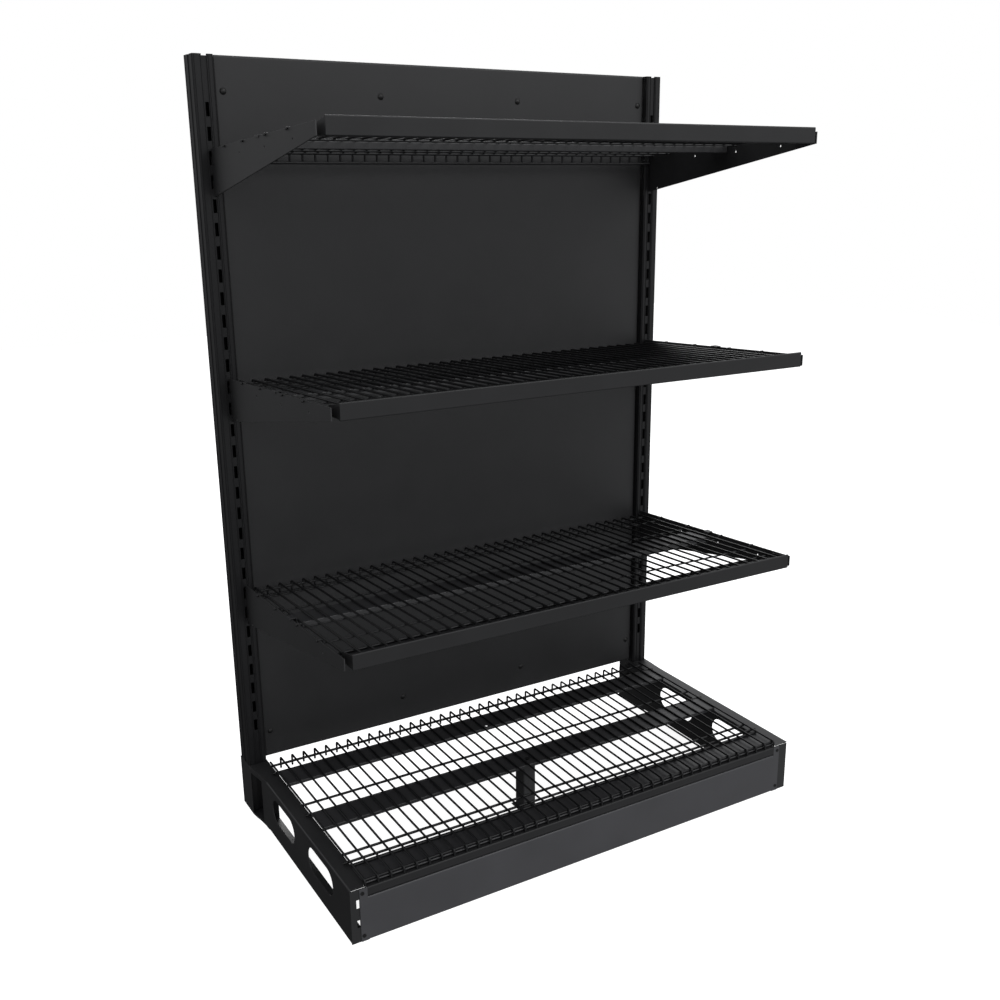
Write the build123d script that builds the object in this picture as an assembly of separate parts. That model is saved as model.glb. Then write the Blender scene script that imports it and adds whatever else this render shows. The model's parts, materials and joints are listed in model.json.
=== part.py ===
"""Single-sided gondola shelving bay: slotted uprights, back panel, base feet,
wire base deck with kick plate, and three wire shelves on hooked brackets.

Frame: X across the bay, +Y to the back, +Z up, origin on the floor at the
centre of the footprint. All lengths are in millimetres.
"""
import os

from build123d import *

# ---------------------------------------------------------------- overall
COLUMN_PITCH = 1184.0      # slot column to slot column
HEIGHT = 1798.0            # top of the uprights
SCREW_HEAD = 1.4           # kick screw head, proud of the front plane
REACH = 620.0              # upright face to the front plane of shelves and kick
UP_DEPTH = 65.0
FACE_Y = (REACH + SCREW_HEAD - UP_DEPTH) / 2   # front face of the uprights

# ---------------------------------------------------------------- uprights
UP_OUT = 25.0              # slot centre line to the outer side
UP_IN = 20.0               # slot centre line to the inner side
UP_WALL = 2.0
UP_CORNER = 3.5
STRIP_HALF = 6.0           # half width of the recessed slotted strip
STRIP_DEPTH = 2.5
STRIP_DROP = 3.5           # strip ends below the lips
SLOT_COUNT = 30
SLOT_PITCH = 50.0
SLOT_TOP_Z = 1687.0        # centre of the highest slot
SLOT_W = 8.0
SLOT_H = 29.0
UP_FOOT_Z = 4.0            # the upright stands on the foot's floor plate
LIP_GROOVES_X = (-22.0, -8.4, 8.4, 17.0)
LIP_GROOVE_W = 2.2
LIP_GROOVE_DEPTH = 1.4
SIDE_GROOVES = ((5.5, 3.5), (29.0, 14.0), (56.0, 5.0))     # centre and width
SIDE_GROOVE_DEPTH = 1.4

# ---------------------------------------------------------------- back panel
PANEL_Y = 13.5             # panel front behind the upright face
PANEL_T = 1.5
PANEL_RETURN = 16.0
PANEL_BEND = 4.5
PANEL_BOTTOM = 137.0
PANEL_GAP = 1.5            # to the uprights
RIVET_Z = (205.0, 1725.0)
RIVET_X = (-552.3, -184.1, 184.1, 552.3)
RIVET_R = 7.5
RIVET_DOME = 4.0
RIVET_SHANK_R = 3.0
RAIL_H = 46.0
RAIL_D = 28.0
RAIL_T = 2.0
RAIL_BEND = 3.0

# ---------------------------------------------------------------- base feet
FOOT_H = 131.0
FOOT_T = 2.0
FOOT_WEB = -16.5           # outer face of the left foot's web
FOOT_IN = 22.5             # inner side of both feet
WEB_REAR = -62.0
SHOE_X = -26.5             # outer face of the shoe's side plate
SHOE_FRONT = -10.0
FLARE = ((SHOE_FRONT, 0.0), (-30.0, 0.25), (-52.0, 0.65), (-75.0, 0.9), (-100.0, 1.0))
SHOE_T = 1.3
FLARE_BAND = 13.0
LOW_BAND = 5.0
FOOT_BEND = 3.5
FOOT_HOLE_Y = (-214.0, -448.0)
FOOT_HOLE_Z = 81.0
FOOT_HOLE_L = 148.0
FOOT_HOLE_H = 64.0
NOSE_NOTCH_X = (17.0, 23.5)    # room for the end wire's nose
NOSE_NOTCH_Y = -611.5
FRONT_SLOTS = ((92.3, 21.4), (44.5, 18.6))     # in the left foot: height of centre, length
FRONT_SLOT_X = (-2.7, 4.3)
FOOT_BOLT_Z = (85.0, 113.5)
FOOT_BOLT_Y = 22.0

# ---------------------------------------------------------------- kick plate
KICK_X = 4.5               # kick plate end, from the slot column
KICK_T = 1.5
KICK_TOP = 127.0
KICK_NOTCH_X = 23.0
KICK_NOTCH_Z = 104.0
KICK_BEND = 3.0
KICK_LOW_FLANGE = 14.0
KICK_TOP_FLANGE = 9.0
KICK_SCREWS = ((11.0, 116.0), (11.0, 13.4))

# ---------------------------------------------------------------- wire work
WIRE_R = 2.5               # front-to-back wires
ROD_R = 3.0                # side-to-side wires
WIRE_COUNT = 39
WIRE_PITCH = 30.1
BEND_R = 5.0

# base deck
DECK_Z = 141.7             # centre plane of the front-to-back wires
DECK_REAR = -17.5
DECK_WIRE_END = -30.0      # the outermost wires stop short of the uprights
DECK_TAIL = 29.0           # down-turned rear ends
DECK_NOSE = 14.0           # down-turned front ends
DECK_FRONT = -615.0
DECK_RODS = (-42.0, -258.0, -497.0, -545.0, -607.0)
DECK_LONG_RODS = (-79.5, -304.5, -528.5)
DECK_TAIL_ROD = 16.3
ROD_SINK = 0.6             # weld depth of a rod into the wires
ROD_END_X = 18.0           # rod ends, from the slot column
LONG_ROD_END_X = 7.0
BAR_REAR = (-150.0, -83.0)
BAR_MIDDLE = (-378.0, -308.0)
BAR_FRONT = (-611.5, -532.0)
BAR_END_X = 19.5
BAR_T = 1.5
BAR_BEND = 2.0
BAR_REST = 0.1             # clearance of a bar above the foot flange or below the wires
HOLE_X = -15.05            # midway between two wires
BAR_HOLE_R = 3.5
HOLE_INSET = 10.0          # hole centre to the front edge of a bar
LIP_X = 23.0
LIP_Z = (105.5, 127.0)
LIP_FLANGE = 16.0
LEG_W = 35.0
LEG_Y = (-362.0, -322.0)
LEG_T = 2.0
LEG_BEND = 4.0
LEG_PAD = (50.0, 60.0)
LEG_BOLT_Y = -352.0

# ---------------------------------------------------------------- shelves
SHELF_TOPS = (1653.8, 1153.8, 653.8)   # top edge of each front rail
FIRST_HOOK_SLOT = (2, 12, 22)
TILT = 0.0622              # rise of the shelf plane per mm towards the front
PLATE_X = (1.0, 3.5)       # bracket plate, from the slot column
PLATE_TOP = -44.8          # top edge at PLATE_REF_Y, from the rail top
PLATE_REF_Y = -33.0
PLATE_BACK = 2.2
PLATE_FRONT = -611.0
PLATE_LOW_BACK = -147.4
PLATE_LOW_FRONT = -34.4
HOOK_LOW = -14.45          # hook throat, from the slot centre
HOOK_HIGH = 3.0
HOOK_BEHIND = 4.8
HOOK_END = 11.0
HOOK_DROP = -23.5
PLATE_HOLES = ((-187.0, -57.0), (-342.0, -48.5), (-497.0, -37.9), (-33.0, -136.8))
PLATE_HOLE_R = 2.8
WIRE_BELOW = 6.0           # shelf wire plane below the bracket's top edge
SHELF_REAR = -12.0
HOOKED_RODS = (-94.0, -215.0, -352.5, -473.0)
PLAIN_RODS = (-32.0, -548.0, -574.0)
SHELF_TAIL_ROD = 24.0
SHELF_TAIL = 26.5          # down-turned rear ends
SHELF_BAR = (-321.0, -246.0)
SHELF_BAR_DEPTH = 10.0     # its rear flange; both flanges end at one level
SHELF_BAR_X = 13.0         # bar end, from the slot column
TAB_Y = (-314.0, -294.0)   # hooked end tab of the shelf bar
RAIL_X = 15.9              # shelf front rail end, from the slot column
FRONT_RAIL_H = 34.4
FRONT_RAIL_T = 1.5
FRONT_RAIL_FLANGE = 9.0
ROLL_R = 2.6
HOOK_REACH = 9.0           # hooked rod end, from the bracket plate
HOOK_TIP = 4.0
HOOK_PAST = 4.0            # hooked rod end, past the bracket plate
HOOKED_R = 2.2
NOTCH_HALF = 3.0           # seats of the hooked rods in the bracket
NOTCH_DEPTH = 3.2
RAIL_END = (-565.0, -12.4)  # rear top corner of a rail end plate
LEDGE_REAR = -533.0        # rear edge of the front rail's ledge, under the rods
LEDGE_TURN = 6.0
HOOK_CLEAR = 0.4
ROD_BEND = 3.2

OUT = "parts"


# ---------------------------------------------------------------- helpers
def slab(x0, x1, y0, y1, z0, z1):
    centre = Pos((x0 + x1) / 2, (y0 + y1) / 2, (z0 + z1) / 2)
    return centre * Box(x1 - x0, y1 - y0, z1 - z0)


def rod(start, end, radius):
    a = Vector(*start)
    b = Vector(*end)
    plane = Plane(origin=a, z_dir=b - a)
    return extrude(plane * Circle(radius), amount=(b - a).length)


def bent_wire(points, radius, bend):
    path = FilletPolyline(*points, radius=bend)
    start = Plane(origin=path @ 0, z_dir=path % 0)
    return sweep(start * Circle(radius), path=path)


def side_plate(points, x0, x1):
    outline = make_face(Polyline(*points, close=True))
    return Pos(x0, 0, 0) * extrude(Plane.YZ * outline, amount=x1 - x0, dir=(1, 0, 0))


def folded(points, t, bend):
    """Section of a bent sheet: a clockwise outline of its outer faces, given thickness."""
    return make_face(offset(FilletPolyline(*points, radius=bend), amount=t, side=Side.RIGHT))


def along_x(section, x0, x1):
    return Pos(x0, 0, 0) * extrude(Plane.YZ * section, amount=x1 - x0, dir=(1, 0, 0))


def along_y(section, y0, y1):
    return Pos(0, y0, 0) * extrude(Plane.XZ * section, amount=y1 - y0, dir=(0, 1, 0))


def drill_x(y, z, radius, x0, x1):
    return rod((x0, y, z), (x1, y, z), radius)


def drill_y(x, z, radius, y0, y1):
    return rod((x, y0, z), (x, y1, z), radius)


def at_left(shape):
    return Pos(-COLUMN_PITCH / 2, FACE_Y, 0) * shape


def at_right(shape):
    return mirror(at_left(shape), about=Plane.YZ)


def in_bay(shape):
    return Pos(0, FACE_Y, 0) * shape


def save(name, shape):
    shape.label = name
    export_step(shape, os.path.join(OUT, name + ".step"))


def group(shapes):
    solids = []
    for shape in shapes:
        solids.extend(shape.solids())
    return Compound(children=solids)


# ---------------------------------------------------------------- uprights
def upright():
    mid = UP_DEPTH / 2
    body = Pos((UP_IN - UP_OUT) / 2, mid) * RectangleRounded(UP_IN + UP_OUT, UP_DEPTH, UP_CORNER)
    recesses = [
        Pos(0, y) * Rectangle(2 * STRIP_HALF, 2 * STRIP_DEPTH) for y in (0, UP_DEPTH)
    ]
    outer = body - recesses
    profile = outer - offset(outer, amount=-UP_WALL, kind=Kind.INTERSECTION)
    grooves = []
    for x in LIP_GROOVES_X:
        for y in (0, UP_DEPTH):
            grooves.append(Pos(x, y) * Rectangle(LIP_GROOVE_W, 2 * LIP_GROOVE_DEPTH))
    for x in (-UP_OUT, UP_IN):
        for y, width in SIDE_GROOVES:
            grooves.append(Pos(x, y) * Rectangle(2 * SIDE_GROOVE_DEPTH, width))
    profile -= grooves
    tube = Pos(0, 0, UP_FOOT_Z) * extrude(profile, amount=HEIGHT - UP_FOOT_Z)
    cuts = []
    for i in range(SLOT_COUNT):
        z = SLOT_TOP_Z - i * SLOT_PITCH
        for y in (0, UP_DEPTH):
            cuts.append(Pos(0, y, z) * Box(SLOT_W, 14, SLOT_H))
    for y in (0, UP_DEPTH):
        cuts.append(Pos(0, y, HEIGHT) * Box(2 * STRIP_HALF, 4 * STRIP_DEPTH, 2 * STRIP_DROP))
    cuts.extend(drill_x(FOOT_BOLT_Y, z, 4.0, UP_IN - 2 * UP_WALL, UP_IN + 1) for z in FOOT_BOLT_Z)
    return tube - cuts


# ---------------------------------------------------------------- back panel
def half_panel():
    return COLUMN_PITCH / 2 - UP_IN - PANEL_GAP


def back_panel():
    half = half_panel()
    y0 = PANEL_Y
    y1 = PANEL_Y + PANEL_RETURN
    tray = slab(-half, half, y0, y1, PANEL_BOTTOM, HEIGHT)
    t = PANEL_T
    tray -= slab(-half + t, half - t, y0 + t, y1 + 1, PANEL_BOTTOM + t, HEIGHT - t)
    tray = fillet(tray.faces().sort_by(Axis.Y)[0].edges(), PANEL_BEND)
    cuts = []
    for z in RIVET_Z:
        for side in (-1, 1):
            edge = Pos(side * half, y0 + t + PANEL_RETURN / 2, z)
            cuts.append(edge * Box(6 * t, PANEL_RETURN, RAIL_H + 1))
        cuts.extend(drill_y(x, z, RIVET_SHANK_R, y0 - 1, y0 + t + 1) for x in RIVET_X)
    return in_bay(tray - cuts)


def panel_rail(z):
    half = COLUMN_PITCH / 2 - UP_IN - 0.1
    y0 = PANEL_Y + PANEL_T
    y1 = y0 + RAIL_D
    low = z - RAIL_H / 2
    high = z + RAIL_H / 2
    outline = [(y1, low), (y0, low), (y0, high), (y1, high)]
    rail = along_x(folded(outline, RAIL_T, RAIL_BEND), -half, half)
    for side in (-1, 1):
        xs = sorted((side * half, side * (half - RAIL_T)))
        rail += slab(*xs, y0 + RAIL_T / 2, y1, low + RAIL_T / 2, high - RAIL_T / 2)
    holes = [drill_y(x, z, RIVET_SHANK_R, y0 - 1, y0 + RAIL_T + 1) for x in RIVET_X]
    return in_bay(rail - holes)


def rivet(x, z):
    ball = (RIVET_R**2 + RIVET_DOME**2) / (2 * RIVET_DOME)
    dome = Pos(x, PANEL_Y - RIVET_DOME + ball, z) * Sphere(ball)
    reach = RIVET_R + 1
    dome &= slab(x - reach, x + reach, PANEL_Y - reach, PANEL_Y, z - reach, z + reach)
    back = PANEL_Y + PANEL_T + RAIL_T
    shank = drill_y(x, z, RIVET_SHANK_R, PANEL_Y - 0.5, back + 1.0)
    tail = drill_y(x, z, RIVET_SHANK_R + 1.5, back, back + 2.5)
    return in_bay(dome + shank + tail)


# ---------------------------------------------------------------- base feet
def foot(web, tip):
    """Base foot: channel with its web at one side and the flange tips at the other."""
    front = -REACH + KICK_T
    rear = UP_DEPTH
    t = FOOT_T
    outer = min(web, tip)
    outline = [(tip, 0), (web, 0), (web, FOOT_H), (tip, FOOT_H)]
    if tip < web:
        outline.reverse()
    beam = along_y(folded(outline, t, FOOT_BEND), front, WEB_REAR)
    edge = [(SHOE_X, 0)] + [(SHOE_X + share * (outer - SHOE_X), y) for y, share in FLARE]
    plan = [(FOOT_IN, WEB_REAR), (FOOT_IN, 0)] + edge + [(outer + FOOT_BEND, FLARE[-1][0])]
    flat = make_face(Polyline(*plan, close=True))
    flanges = [Pos(0, 0, z0) * extrude(flat, amount=t) for z0 in (0, FOOT_H - t)]
    inner = [(x + SHOE_T, y) for x, y in reversed(edge)]
    band = make_face(Polyline(*edge, *inner, close=True))
    rims = [
        Pos(0, 0, FOOT_H - FLARE_BAND) * extrude(band, amount=FLARE_BAND),
        extrude(band, amount=LOW_BAND),
    ]
    shoe_out = slab(SHOE_X, SHOE_X + SHOE_T, SHOE_FRONT, rear, 0, FOOT_H)
    shoe_in = slab(UP_IN + 0.3, FOOT_IN, WEB_REAR - t, rear, 0, FOOT_H)
    shoe_floor = slab(SHOE_X, FOOT_IN, SHOE_FRONT, rear, 0, t)
    nose = slab(outer, FOOT_IN, front, front + t, 0, KICK_TOP)
    body = beam + flanges + rims + shoe_out + shoe_in + shoe_floor + nose
    cuts = [slab(*NOSE_NOTCH_X, front - 1, NOSE_NOTCH_Y, KICK_TOP, FOOT_H + 1)]
    hole = Plane.YZ * SlotOverall(FOOT_HOLE_L, FOOT_HOLE_H)
    for y in FOOT_HOLE_Y:
        cuts.append(Pos(web - t - 1, y, FOOT_HOLE_Z) * extrude(hole, amount=2 * t + 2, dir=(1, 0, 0)))
    for z, height in FRONT_SLOTS if web < tip else ():
        cuts.append(slab(*FRONT_SLOT_X, front - 1, front + t + 1, z - height / 2, z + height / 2))
    for x, z in KICK_SCREWS:
        cuts.append(drill_y(x, z, 2.4, front - 1, front + t + 1))
    for z in FOOT_BOLT_Z:
        cuts.append(drill_x(FOOT_BOLT_Y, z, 4.0, UP_IN, FOOT_IN + 1))
    return body - cuts


def foot_bolt(z):
    head = drill_x(FOOT_BOLT_Y, z, 8.0, FOOT_IN, FOOT_IN + 1.6)
    hexagon = Plane.YZ * RegularPolygon(6.5, 6)
    hexagon = extrude(Pos(FOOT_IN + 1.6, FOOT_BOLT_Y, z) * hexagon, amount=5.0, dir=(1, 0, 0))
    shank = drill_x(FOOT_BOLT_Y, z, 3.9, UP_IN - UP_WALL - 8, FOOT_IN)
    return head + hexagon + shank


# ---------------------------------------------------------------- kick plate
def kick_plate():
    half = COLUMN_PITCH / 2 - KICK_X
    notch = COLUMN_PITCH / 2 - KICK_NOTCH_X
    y0 = -REACH
    outline = [(y0 + KICK_LOW_FLANGE, 0), (y0, 0), (y0, KICK_NOTCH_Z), (y0 + KICK_TOP_FLANGE, KICK_NOTCH_Z)]
    plate = along_x(folded(outline, KICK_T, KICK_BEND), -notch, notch)
    for side in (-1, 1):
        xs = sorted((side * half, side * notch))
        plate += slab(*xs, y0, y0 + KICK_T, 0, KICK_TOP)
    cuts = []
    for side in (-1, 1):
        for x, z in KICK_SCREWS:
            cuts.append(drill_y(side * (COLUMN_PITCH / 2 - x), z, 2.4, y0 - 1, y0 + KICK_T + 1))
    return in_bay(plate - cuts)


def kick_screw(side, x, z):
    px = side * (COLUMN_PITCH / 2 - x)
    head = drill_y(px, z, 4.2, -REACH, -REACH - SCREW_HEAD)
    shank = drill_y(px, z, 2.3, -REACH, -REACH + 12)
    cross = Pos(px, -REACH - SCREW_HEAD, z) * (Box(4.6, SCREW_HEAD, 1.0) + Box(1.0, SCREW_HEAD, 4.6))
    return in_bay(head + shank - cross)


# ---------------------------------------------------------------- wire decks
def wire_xs():
    first = -(WIRE_COUNT - 1) / 2 * WIRE_PITCH
    return [first + i * WIRE_PITCH for i in range(WIRE_COUNT)]


def weld(parts):
    return parts[0].fuse(*parts[1:])


def deck_wires():
    """Base deck: wires turned down at the back and onto the lip at the front."""
    xs = wire_xs()
    parts = []
    for x in xs:
        if x in (xs[0], xs[-1]):
            tail = [(x, DECK_WIRE_END, DECK_Z)]
        else:
            tail = [(x, DECK_REAR, DECK_Z - DECK_TAIL), (x, DECK_REAR, DECK_Z)]
        nose = [(x, DECK_FRONT, DECK_Z), (x, DECK_FRONT, DECK_Z - DECK_NOSE)]
        parts.append(bent_wire(tail + nose, WIRE_R, BEND_R))
    sink = WIRE_R + ROD_R - ROD_SINK
    for inset, ys in ((ROD_END_X, DECK_RODS), (LONG_ROD_END_X, DECK_LONG_RODS)):
        end = COLUMN_PITCH / 2 - inset
        parts.extend(rod((-end, y, DECK_Z - sink), (end, y, DECK_Z - sink), ROD_R) for y in ys)
    end = xs[-2] + ROD_R
    z = DECK_Z - DECK_TAIL_ROD
    parts.append(rod((-end, DECK_REAR - sink, z), (end, DECK_REAR - sink, z), ROD_R))
    return in_bay(weld(parts))


def deck_bar(y0, y1, top, hole_y, hole_r):
    """Shallow channel lying on the foot flanges, its web under the wires."""
    end = COLUMN_PITCH / 2 - BAR_END_X
    low = FOOT_H + BAR_REST
    outline = [(y0, low), (y0, top), (y1, top), (y1, low)]
    bar = along_x(folded(outline, BAR_T, BAR_BEND), -end, end)
    bar -= rod((HOLE_X, hole_y, low), (HOLE_X, hole_y, top + 1), hole_r)
    return in_bay(bar)


def deck_lip():
    end = COLUMN_PITCH / 2 - LIP_X
    y0 = -REACH
    low, high = LIP_Z
    outline = [(y0 + LIP_FLANGE, low), (y0, low), (y0, high), (y0 + LIP_FLANGE, high)]
    return in_bay(along_x(folded(outline, KICK_T, KICK_BEND), -end, end))


def centre_leg():
    y0, y1 = LEG_Y
    top = DECK_Z - WIRE_R - BAR_T
    x0 = HOLE_X - LEG_W / 2
    x1 = HOLE_X + LEG_W / 2
    outline = FilletPolyline((x1, y1), (x1, y0), (x0, y0), (x0, y1), radius=LEG_BEND)
    leg = extrude(make_face(offset(outline, amount=LEG_T, side=Side.RIGHT)), amount=top)
    leg += slab(x0 + 1, x1 - 1, y0 + 1, y1, top - LEG_T, top)
    pad_x, pad_y = LEG_PAD
    leg += Pos(HOLE_X, (y0 + y1) / 2, LEG_T / 2) * Box(pad_x, pad_y, LEG_T)
    leg -= rod((HOLE_X, LEG_BOLT_Y, top - 5), (HOLE_X, LEG_BOLT_Y, top + 5), 3.1)
    return in_bay(leg)


def leg_bolt():
    web = DECK_Z - WIRE_R
    head = rod((HOLE_X, LEG_BOLT_Y, web), (HOLE_X, LEG_BOLT_Y, web + 3.2), 5.5)
    socket = Pos(HOLE_X, LEG_BOLT_Y, web + 3.2) * Cylinder(2.2, 3.0)
    shank = rod((HOLE_X, LEG_BOLT_Y, web - 16), (HOLE_X, LEG_BOLT_Y, web), 3.0)
    low = web - BAR_T - LEG_T
    nut = extrude(Pos(HOLE_X, LEG_BOLT_Y, low - 5) * RegularPolygon(5.8, 6), amount=5)
    return in_bay(head - socket + shank + nut)


# ---------------------------------------------------------------- shelves
def plate_top(y):
    return PLATE_TOP + (PLATE_REF_Y - y) * TILT


def bracket(rail_top, first_slot):
    hook_z = [SLOT_TOP_Z - (first_slot + i) * SLOT_PITCH - rail_top for i in (0, 1)]
    outline = [(PLATE_BACK, plate_top(PLATE_BACK))]
    for z in hook_z:
        outline.extend([
            (PLATE_BACK, z + HOOK_HIGH), (HOOK_END, z + HOOK_HIGH), (HOOK_END, z + HOOK_DROP),
            (HOOK_BEHIND, z + HOOK_DROP), (HOOK_BEHIND, z + HOOK_LOW), (PLATE_BACK, z + HOOK_LOW),
        ])
    outline.extend([
        (PLATE_BACK, PLATE_LOW_BACK), (PLATE_FRONT, PLATE_LOW_FRONT),
        (PLATE_FRONT, plate_top(PLATE_FRONT)),
    ])
    plate = side_plate(outline, *PLATE_X)
    cuts = [drill_x(y, z, PLATE_HOLE_R, 0, 5) for y, z in PLATE_HOLES]
    for y in HOOKED_RODS:
        top = plate_top(y)
        cuts.append(slab(0, 5, y - NOTCH_HALF, y + NOTCH_HALF, top - NOTCH_DEPTH, top + 5))
    plate -= cuts
    return Pos(0, 0, rail_top) * plate


def shelf_z(y):
    return plate_top(y) - WIRE_BELOW


def hooked_rod(y, z, over):
    """Rod whose ends turn up and hook over the bracket plates."""
    plate = COLUMN_PITCH / 2 - sum(PLATE_X) / 2
    inside = plate - HOOK_REACH
    outside = plate + HOOK_PAST
    half = [(inside, y, z), (inside, y, over), (outside, y, over), (outside, y, over - HOOK_TIP)]
    other = [(-x, y, z) for x, y, z in reversed(half)]
    return bent_wire(other + half, HOOKED_R, ROD_BEND)


def shelf_wires():
    """Shelf grid in rail coordinates: sloping wires over plain and hooked rods."""
    front = -REACH + 4
    rear = SHELF_REAR
    parts = []
    for x in wire_xs():
        points = [(x, rear, shelf_z(rear) - SHELF_TAIL), (x, rear, shelf_z(rear)), (x, front, shelf_z(front))]
        parts.append(bent_wire(points, WIRE_R, BEND_R))
    sink = WIRE_R + ROD_R - ROD_SINK
    end = COLUMN_PITCH / 2 - ROD_END_X
    for y in PLAIN_RODS:
        z = shelf_z(y) - sink
        parts.append(rod((-end, y, z), (end, y, z), ROD_R))
    hook_sink = WIRE_R + HOOKED_R - ROD_SINK
    over = HOOKED_R + HOOK_CLEAR - NOTCH_DEPTH
    for y in HOOKED_RODS:
        parts.append(hooked_rod(y, shelf_z(y) - hook_sink, plate_top(y) + over))
    z = shelf_z(rear) - SHELF_TAIL_ROD
    parts.append(rod((-end, rear - sink, z), (end, rear - sink, z), ROD_R))
    return weld(parts)


def shelf_bar():
    """Channel across the shelf whose end tabs also hook over the brackets."""
    end = COLUMN_PITCH / 2 - SHELF_BAR_X
    t = BAR_T
    y0, y1 = SHELF_BAR
    z0 = shelf_z(y0) - WIRE_R - BAR_REST
    z1 = shelf_z(y1) - WIRE_R - BAR_REST
    low = z1 - SHELF_BAR_DEPTH
    outline = [(y0, low), (y0, z0), (y1, z1), (y1, low)]
    bar = along_x(folded(outline, t, BAR_BEND), -end, end)
    tab0, tab1 = TAB_Y
    over = plate_top(tab0) + HOOK_CLEAR
    outer = COLUMN_PITCH / 2 - PLATE_X[0] + HOOK_CLEAR
    root = shelf_z(tab1) - WIRE_R - t
    for side in (-1, 1):
        xs = sorted((side * (end - t), side * end))
        bar += slab(*xs, tab0, tab1, root - 4, over + t)
        xs = sorted((side * (end - t), side * (outer + t)))
        bar += slab(*xs, tab0, tab1, over, over + t)
        xs = sorted((side * outer, side * (outer + t)))
        bar += slab(*xs, tab0, tab1, over - HOOK_TIP, over + t)
    return bar


def front_rail():
    end = COLUMN_PITCH / 2 - RAIL_X
    y0 = -REACH
    t = FRONT_RAIL_T
    low = -FRONT_RAIL_H
    outline = [(y0 + FRONT_RAIL_FLANGE, low), (y0, low), (y0, -ROLL_R)]
    rail = along_x(folded(outline, t, BAR_BEND), -end, end)
    rail += rod((-end, y0 + ROLL_R, -ROLL_R), (end, y0 + ROLL_R, -ROLL_R), ROLL_R)
    rod_foot = WIRE_R + 2 * ROD_R - ROD_SINK + BAR_REST
    rear_z = shelf_z(LEDGE_REAR) - rod_foot
    outline = [(y0 + t / 2, shelf_z(y0) - rod_foot), (LEDGE_REAR, rear_z), (LEDGE_REAR, rear_z - LEDGE_TURN)]
    rail += along_x(folded(outline, t, BAR_BEND), -end, end)
    cheek = [(y0 + t / 2, low + t), (y0 + t / 2, -ROLL_R), RAIL_END, (RAIL_END[0], low + t)]
    return rail + side_plate(cheek, -end, t - end) + side_plate(cheek, end - t, end)


# ---------------------------------------------------------------- build all
def main():
    os.makedirs(OUT, exist_ok=True)

    save("upright_left", at_left(upright()))
    save("upright_right", at_right(upright()))
    save("back_panel", back_panel())
    save("panel_rail_lower", panel_rail(RIVET_Z[0]))
    save("panel_rail_upper", panel_rail(RIVET_Z[1]))
    save("panel_rivets", group(rivet(x, z) for z in RIVET_Z for x in RIVET_X))

    save("foot_left", at_left(foot(FOOT_WEB, FOOT_IN)))
    save("foot_right", at_right(foot(FOOT_IN, -FOOT_IN)))
    bolts = [foot_bolt(z) for z in FOOT_BOLT_Z]
    save("foot_bolts", group([at_left(b) for b in bolts] + [at_right(b) for b in bolts]))

    save("kick_plate", kick_plate())
    save("kick_screws", group(kick_screw(s, x, z) for s in (-1, 1) for x, z in KICK_SCREWS))

    web = DECK_Z - WIRE_R
    low_web = web - 2 * ROD_R + ROD_SINK
    save("deck_wires", deck_wires())
    save("deck_bar_rear", deck_bar(*BAR_REAR, web, BAR_REAR[0] + HOLE_INSET, BAR_HOLE_R))
    save("deck_bar_middle", deck_bar(*BAR_MIDDLE, web, LEG_BOLT_Y, 3.1))
    save("deck_bar_front", deck_bar(*BAR_FRONT, low_web, BAR_FRONT[0] + HOLE_INSET, BAR_HOLE_R))
    save("deck_lip", deck_lip())
    save("centre_leg", centre_leg())
    save("leg_bolt", leg_bolt())

    grid = shelf_wires()
    for number, (top, slot) in enumerate(zip(SHELF_TOPS, FIRST_HOOK_SLOT), start=1):
        name = "shelf_%d_" % number
        plate = bracket(top, slot)
        save(name + "bracket_left", at_left(plate))
        save(name + "bracket_right", at_right(plate))
        place = Pos(0, FACE_Y, top)
        save(name + "wires", place * grid)
        save(name + "bar", place * shelf_bar())
        save(name + "rail", place * front_rail())


if __name__ == "__main__":
    main()
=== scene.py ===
import json
import math

import bpy
from mathutils import Matrix, Vector


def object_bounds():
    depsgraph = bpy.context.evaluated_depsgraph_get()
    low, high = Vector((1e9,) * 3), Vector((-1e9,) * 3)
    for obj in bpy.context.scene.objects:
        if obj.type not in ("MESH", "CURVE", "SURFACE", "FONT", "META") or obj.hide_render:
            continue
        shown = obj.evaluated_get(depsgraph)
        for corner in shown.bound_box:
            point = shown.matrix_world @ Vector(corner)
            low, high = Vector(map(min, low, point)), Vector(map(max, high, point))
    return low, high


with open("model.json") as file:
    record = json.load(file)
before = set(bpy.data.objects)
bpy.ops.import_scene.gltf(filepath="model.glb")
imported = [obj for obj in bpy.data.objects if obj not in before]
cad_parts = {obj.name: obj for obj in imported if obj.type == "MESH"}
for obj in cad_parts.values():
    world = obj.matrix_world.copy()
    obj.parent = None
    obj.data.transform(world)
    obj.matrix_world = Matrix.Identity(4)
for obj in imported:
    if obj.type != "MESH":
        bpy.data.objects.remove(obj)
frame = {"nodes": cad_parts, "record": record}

CAD_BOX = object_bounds()

MM = 0.001
SCENE = bpy.context.scene

# ---------------------------------------------------------------- camera
# The view is from the front left, with the eye between the top and the middle shelf.
EYE = Vector((-1.354, -2.289, 1.563))
YAW = math.radians(31.96)
PITCH = math.radians(-16.48)
LENS = 41.22
SENSOR = 36.0
SHIFT = (-0.04215, 0.00857)
CLIP_NEAR, CLIP_FAR = 0.05, 60.0


def make_camera():
    data = bpy.data.cameras.new("camera")
    data.lens = LENS
    data.sensor_width = SENSOR
    data.shift_x, data.shift_y = SHIFT
    data.clip_start, data.clip_end = CLIP_NEAR, CLIP_FAR
    camera = bpy.data.objects.new("camera", data)
    turn = Matrix.Rotation(-YAW, 4, "Z") @ Matrix.Rotation(math.pi / 2 + PITCH, 4, "X")
    camera.matrix_world = Matrix.Translation(EYE) @ turn
    SCENE.collection.objects.link(camera)
    SCENE.camera = camera


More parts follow.
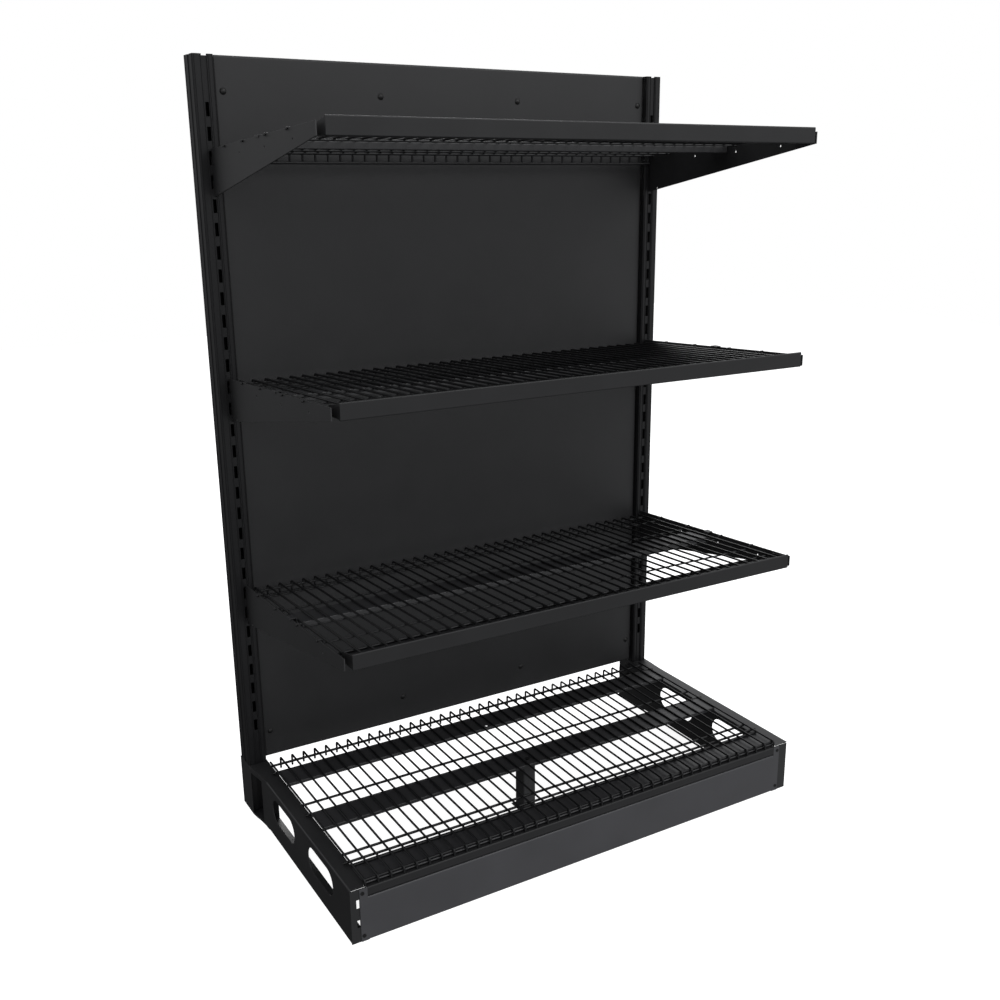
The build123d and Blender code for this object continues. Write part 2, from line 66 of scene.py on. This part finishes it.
# ---------------------------------------------------------------- light
SOFT_SIDE = (0.10, -0.45, 0.88)    # where the soft light comes from
SOFT_FROM, SOFT_TO = -1.0, 0.9
SOFT_DARK, SOFT_BRIGHT = 0.02, 1.2
SOFT_COLOUR = (0.97, 0.98, 1.0, 1.0)
WHITE = (1.0, 1.0, 1.0, 1.0)
AIM = (0.0, 0.0, 0.9)              # the middle of the unit
LAMPS = {                          # place, width and height, power in watts
    "key": ((1.6, -2.6, 3.6), (2.0, 2.0), 45.0),
    "fill": ((-2.2, -3.4, 2.6), (1.6, 2.0), 20.0),
    "back": ((1.2, 3.4, 2.6), (2.4, 2.4), 90.0),
}
FLOOR_REACH = 9.0
FLOOR_COLOUR = (0.35, 0.35, 0.35, 1.0)
FLOOR_ROUGHNESS = 0.9
FLOOR_GLOW = 0.9


def area_light(name, place, size, power):
    data = bpy.data.lights.new(name, "AREA")
    data.shape = "RECTANGLE"
    data.size, data.size_y = size
    data.energy = power
    lamp = bpy.data.objects.new(name, data)
    lamp.location = place
    lamp.rotation_euler = (Vector(AIM) - Vector(place)).to_track_quat("-Z", "Y").to_euler()
    SCENE.collection.objects.link(lamp)


def studio_world():
    """White backdrop; the light that reaches the part comes from above and in front."""
    world = bpy.data.worlds.new("studio")
    world.use_nodes = True
    nodes, links = world.node_tree.nodes, world.node_tree.links
    backdrop = nodes["Background"]
    backdrop.inputs["Color"].default_value = WHITE
    backdrop.inputs["Strength"].default_value = 1.0

    where = nodes.new("ShaderNodeTexCoord")
    along = nodes.new("ShaderNodeVectorMath")
    along.operation = "DOT_PRODUCT"
    along.inputs[1].default_value = Vector(SOFT_SIDE).normalized()
    links.new(where.outputs["Generated"], along.inputs[0])
    level = nodes.new("ShaderNodeMapRange")
    level.interpolation_type = "SMOOTHSTEP"
    level.inputs["From Min"].default_value = SOFT_FROM
    level.inputs["From Max"].default_value = SOFT_TO
    level.inputs["To Min"].default_value = SOFT_DARK
    level.inputs["To Max"].default_value = SOFT_BRIGHT
    links.new(along.outputs["Value"], level.inputs["Value"])
    soft = nodes.new("ShaderNodeBackground")
    soft.inputs["Color"].default_value = SOFT_COLOUR
    links.new(level.outputs["Result"], soft.inputs["Strength"])

    ray = nodes.new("ShaderNodeLightPath")
    mix = nodes.new("ShaderNodeMixShader")
    links.new(ray.outputs["Is Camera Ray"], mix.inputs["Fac"])
    links.new(soft.outputs["Background"], mix.inputs[1])
    links.new(backdrop.outputs["Background"], mix.inputs[2])
    links.new(mix.outputs["Shader"], nodes["World Output"].inputs["Surface"])
    SCENE.world = world


def make_light():
    studio_world()
    SCENE.view_settings.view_transform = "Standard"
    for name, values in LAMPS.items():
        area_light(name, *values)


def make_floor():
    """Pale floor under the unit, which sends no light back up onto it."""
    lowest = CAD_BOX[0]
    mesh = bpy.data.meshes.new("floor")
    corners = [(x * FLOOR_REACH, y * FLOOR_REACH, 0) for x, y in ((-1, -1), (1, -1), (1, 1), (-1, 1))]
    mesh.from_pydata(corners, [], [(0, 1, 2, 3)])
    floor = bpy.data.objects.new("floor", mesh)
    floor.location.z = lowest.z
    floor.visible_diffuse = False
    floor.visible_glossy = False
    SCENE.collection.objects.link(floor)
    material = bpy.data.materials.new("floor")
    material.use_nodes = True
    shader = material.node_tree.nodes["Principled BSDF"]
    shader.inputs["Base Color"].default_value = FLOOR_COLOUR
    shader.inputs["Roughness"].default_value = FLOOR_ROUGHNESS
    shader.inputs["Emission Color"].default_value = WHITE
    shader.inputs["Emission Strength"].default_value = FLOOR_GLOW
    floor.data.materials.append(material)


# ---------------------------------------------------------------- materials
MOTTLE_SCALE, MOTTLE_DETAIL = 9.0, 4.0    # soft patches, about 0.1 m across
MOTTLE_LOW, MOTTLE_HIGH = 0.3, 0.7        # noise levels of the darkest and lightest tint
TINT_SPREAD = 0.12                        # how far the tint leaves its shade, either way
SHEEN_SPREAD = 0.05                       # how far the roughness varies, either way
PEEL_DETAIL = 2.0
PEEL_STRENGTH = 0.12
PEEL_HEIGHT = 0.2 * MM
BEVEL_SAMPLES = 4


def powder_coat(name, shade, roughness, specular, grain, bevel):
    """Satin black powder coat: orange peel, faint mottling and rounded edges."""
    material = bpy.data.materials.new(name)
    material.use_nodes = True
    tree = material.node_tree
    nodes, links = tree.nodes, tree.links
    shader = nodes["Principled BSDF"]
    shader.inputs["Specular IOR Level"].default_value = specular
    where = nodes.new("ShaderNodeTexCoord")

    mottle = nodes.new("ShaderNodeTexNoise")
    mottle.inputs["Scale"].default_value = MOTTLE_SCALE
    mottle.inputs["Detail"].default_value = MOTTLE_DETAIL
    links.new(where.outputs["Object"], mottle.inputs["Vector"])

    tint = nodes.new("ShaderNodeValToRGB")
    ends = ((MOTTLE_LOW, 1 - TINT_SPREAD), (MOTTLE_HIGH, 1 + TINT_SPREAD))
    for stop, (position, factor) in zip(tint.color_ramp.elements, ends):
        stop.position = position
        stop.color = (*[c * factor for c in shade], 1.0)
    links.new(mottle.outputs["Fac"], tint.inputs["Fac"])
    links.new(tint.outputs["Color"], shader.inputs["Base Color"])

    sheen = nodes.new("ShaderNodeMapRange")
    sheen.inputs["To Min"].default_value = roughness - SHEEN_SPREAD
    sheen.inputs["To Max"].default_value = roughness + SHEEN_SPREAD
    links.new(mottle.outputs["Fac"], sheen.inputs["Value"])
    links.new(sheen.outputs["Result"], shader.inputs["Roughness"])

    peel = nodes.new("ShaderNodeTexNoise")
    peel.inputs["Scale"].default_value = grain
    peel.inputs["Detail"].default_value = PEEL_DETAIL
    links.new(where.outputs["Object"], peel.inputs["Vector"])
    bump = nodes.new("ShaderNodeBump")
    bump.inputs["Strength"].default_value = PEEL_STRENGTH
    bump.inputs["Distance"].default_value = PEEL_HEIGHT
    links.new(peel.outputs["Fac"], bump.inputs["Height"])
    edge = nodes.new("ShaderNodeBevel")
    edge.samples = BEVEL_SAMPLES
    edge.inputs["Radius"].default_value = bevel
    links.new(edge.outputs["Normal"], bump.inputs["Normal"])
    links.new(bump.outputs["Normal"], shader.inputs["Normal"])
    return material


# slot: shade, roughness, specular level, orange peel scale, edge radius
COATS = {
    "upright_coat": ((0.006, 0.006, 0.0065), 0.42, 0.20, 900.0, 0.4 * MM),
    "panel_coat": ((0.011, 0.011, 0.0115), 0.50, 0.32, 700.0, 1.0 * MM),
    "rail_coat": ((0.009, 0.009, 0.0095), 0.42, 0.27, 800.0, 1.0 * MM),
    "foot_coat": ((0.010, 0.010, 0.0105), 0.45, 0.34, 800.0, 1.0 * MM),
    "kick_coat": ((0.026, 0.026, 0.029), 0.48, 0.55, 800.0, 1.0 * MM),
    "wire_coat": ((0.004, 0.004, 0.0045), 0.38, 0.22, 1200.0, 0.3 * MM),
    "bracket_coat": ((0.009, 0.009, 0.0095), 0.45, 0.50, 800.0, 0.6 * MM),
    "lip_coat": ((0.010, 0.010, 0.0105), 0.42, 0.24, 800.0, 0.8 * MM),
    "sheet_coat": ((0.014, 0.014, 0.015), 0.42, 0.45, 800.0, 1.0 * MM),
    "fastener_coat": ((0.004, 0.004, 0.004), 0.40, 0.25, 1500.0, 0.4 * MM),
}


def coat_the_frame():
    made = {name: powder_coat(name, *values) for name, values in COATS.items()}
    for part in frame["record"]["subparts"]:
        node = frame["nodes"][part["node"]]
        for slot in node.material_slots:
            slot.material = made[part["material_slot"]]


make_camera()
make_light()
make_floor()
coat_the_frame()
